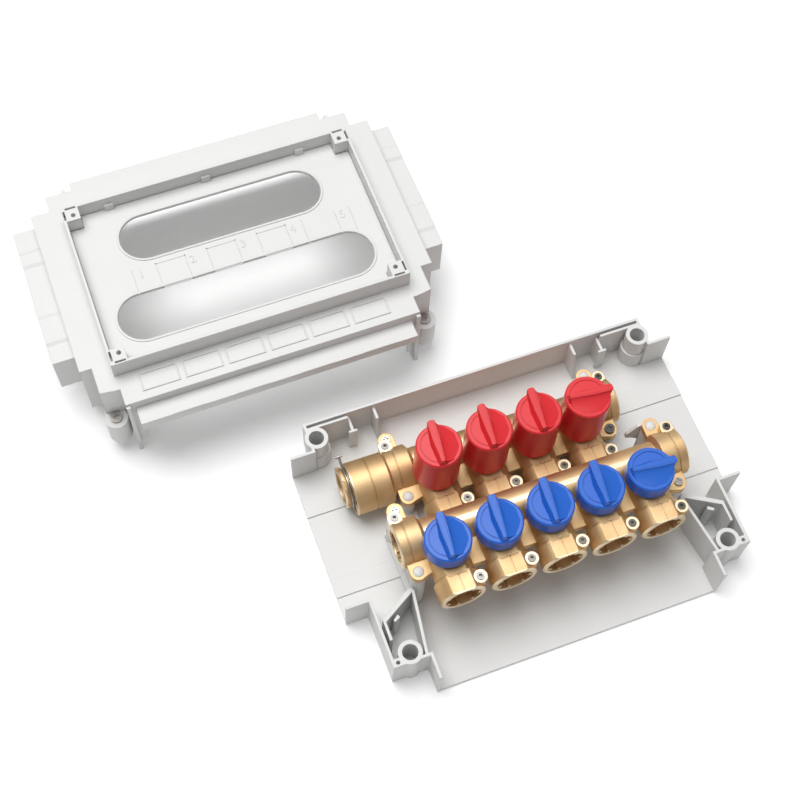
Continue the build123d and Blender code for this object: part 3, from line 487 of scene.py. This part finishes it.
for n, x in enumerate(hot_x, 1):
    finger_grip(f"hot_valve_{n}", x, hot_y, n == len(hot_x), finishes["red_plastic"])
for n, x in enumerate(cold_x, 1):
    finger_grip(f"cold_valve_{n}", x, cold_y, n == len(cold_x), finishes["blue_plastic"])
print(len(hot_x) + len(cold_x), "finger grips")

# %% [markdown]
# ## Mould lines of the castings
# A sand mould closes in halves, so a fine raised line is left along the crown of each
# outlet, and a short one across it where the mouth begins.

# %% Mould lines
# width, then where it starts and ends along Y from the middle of the valve
crown_line = (0.7, -31.2, -19.5)
mouth_line = (12.0, -20.2, -19.5)
line_height = 0.5


def mould_lines(name, outlets, row_y, axis_z, finish):
    """The raised lines on the flats of one row of outlets."""
    shape = bmesh.new()
    for x in outlets:
        for width, start, end in (crown_line, mouth_line):
            middle = Vector((x, row_y + (start + end) / 2, axis_z + mouth_flat))
            size = Matrix.Diagonal((width, end - start, line_height, 1))
            bmesh.ops.create_cube(shape, size=mm, matrix=Matrix.Translation(middle * mm) @ size)
    made = shaped(name, shape, finish)
    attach(made, "box")


mould_lines("cold_mould_lines", cold_x, cold_y, cold_z, finishes["cold_brass"])
mould_lines("hot_mould_lines", hot_x, hot_y, hot_z, finishes["hot_brass"])
print("mould lines on", len(cold_x) + len(hot_x), "outlets")

# %% [markdown]
# ## Relief on the cover
# The cover lies a little turned, so one function turns its own upright numbers into
# places. The plate inside has shallow frames and plain numbers for the outlets, the
# front ledge a thin broken lip, and the two side wings a skin with two low swells.

# %% Places on the cover
cover_turn = Matrix.Rotation(math.radians(0.52), 3, "Z")
cover_pivot = Vector((-70, -30, 0))
cover_shift = Vector((-130.88, 219.37, 0))


def on_cover(x, y, z):
    """The place, in metres, of a point given in the cover's own millimetres."""
    turned = cover_turn @ (Vector((x, y, 0)) - cover_pivot) + cover_pivot
    return (turned + cover_shift + Vector((0, 0, z))) * mm


def cover_piece(name, corners, faces):
    """A piece of the cover from corners in its own millimetres."""
    shape = bmesh.new()
    points = [shape.verts.new(on_cover(*corner)) for corner in corners]
    for face in faces:
        shape.faces.new([points[n] for n in face])
    bmesh.ops.recalc_face_normals(shape, faces=shape.faces)
    made = shaped(name, shape, finishes["grey_plastic"])
    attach(made, "box")


box_faces = [(0, 3, 2, 1), (4, 5, 6, 7), (0, 1, 5, 4), (1, 2, 6, 5), (2, 3, 7, 6), (3, 0, 4, 7)]


def boxes(name, spans):
    """A piece made of upright boxes, each given as pairs of x, y and z."""
    corners, faces = [], []
    for x, y, (bottom, top) in spans:
        start = len(corners)
        floor_plan = ((x[0], y[0]), (x[1], y[0]), (x[1], y[1]), (x[0], y[1]))
        corners += [(*spot, z) for z in (bottom, top) for spot in floor_plan]
        faces += [tuple(start + corner for corner in face) for face in box_faces]
    cover_piece(name, corners, faces)


# %% Frames beside the numbers
plate_top = 68.6
relief = (plate_top - overlap, plate_top + 0.25)
line = 0.7
front, rear = -13.0, 7.5
number_pitch = 36.4
first_number = -65.9
frame_offset = 11.0
frame_length = 21.5
last_number = 4 * number_pitch
single_lines = (-6.0, 3.2 * number_pitch, last_number - 5, last_number + 6)
frame_spans = []
for n in range(3):
    near = first_number + frame_offset + number_pitch * n
    far = near + frame_length
    frame_spans += [
        ((near, far), (front, front + line), relief),
        ((near, far), (rear - line, rear), relief),
        ((near, near + line), (front, rear), relief),
        ((far - line, far), (front, rear), relief),
    ]
for offset in single_lines:
    x = first_number + offset
    frame_spans.append(((x, x + line), (front, rear), relief))
boxes("number_frames", frame_spans)
print(len(frame_spans), "lines of relief")

# %% Plain numbers
digit_height = 9.0
digit_depth = 0.2
number_y = 2
for n in range(5):
    words = bpy.data.curves.new("number", "FONT")
    words.body = str(n + 1)
    words.size = digit_height
    words.extrude = digit_depth
    words.align_x = "CENTER"
    words.align_y = "CENTER"
    host = bpy.data.objects.new("number_host", words)
    bpy.context.collection.objects.link(host)
    bpy.context.view_layer.update()
    evaluated = host.evaluated_get(bpy.context.evaluated_depsgraph_get())
    mesh = bpy.data.meshes.new_from_object(evaluated)
    bpy.data.objects.remove(host)
    for corner in mesh.vertices:
        x, y, z = corner.co
        corner.co = on_cover(first_number + number_pitch * n + x, number_y + y, plate_top + z)
    mesh.materials.clear()
    mesh.materials.append(finishes["grey_plastic"])
    digit = bpy.data.objects.new(f"number_{n + 1}", mesh)
    bpy.context.collection.objects.link(digit)
    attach(digit, "box")
print("numbers 1 to 5")

# %% The broken lip of the front ledge
ledge_top = 57.5
ledge_edge = -101.3
lip_width = 0.8
lip_rise = 0.3
lip_y = (ledge_edge, ledge_edge + lip_width)
lip_z = (ledge_top - overlap, ledge_top + lip_rise)
lip_lengths = ((-75.8, -53.1), (-32.2, -8.4), (14.2, 37.8), (58.8, 81.9))
boxes("ledge_lip", [(length, lip_y, lip_z) for length in lip_lengths])
print(len(lip_lengths), "pieces of lip")

# %% Skins of the side wings
wing_top = 55.5
wing_sides = (121.5, 141.0)
wing_front, wing_back = -37.2, 72
sunk = wing_top - overlap
low = wing_top + 0.2
high = wing_top + 1.2
wing_outline = [
    (wing_back, low), (55, low), (52.5, high), (43.5, high), (41, low),
    (1, low), (-1.5, high), (-21, high), (-23.5, low), (wing_front, low),
    (wing_front, sunk), (wing_back, sunk),
]
count = len(wing_outline)
wing_faces = [tuple(range(count)), tuple(reversed(range(count, 2 * count)))]
for n in range(count):
    after = (n + 1) % count
    wing_faces.append((n, after, count + after, count + n))
for name, side in (("left_wing_skin", -1), ("right_wing_skin", 1)):
    corners = [(side * x, y, z) for x in wing_sides for y, z in wing_outline]
    cover_piece(name, corners, wing_faces)
print("two wing skins")
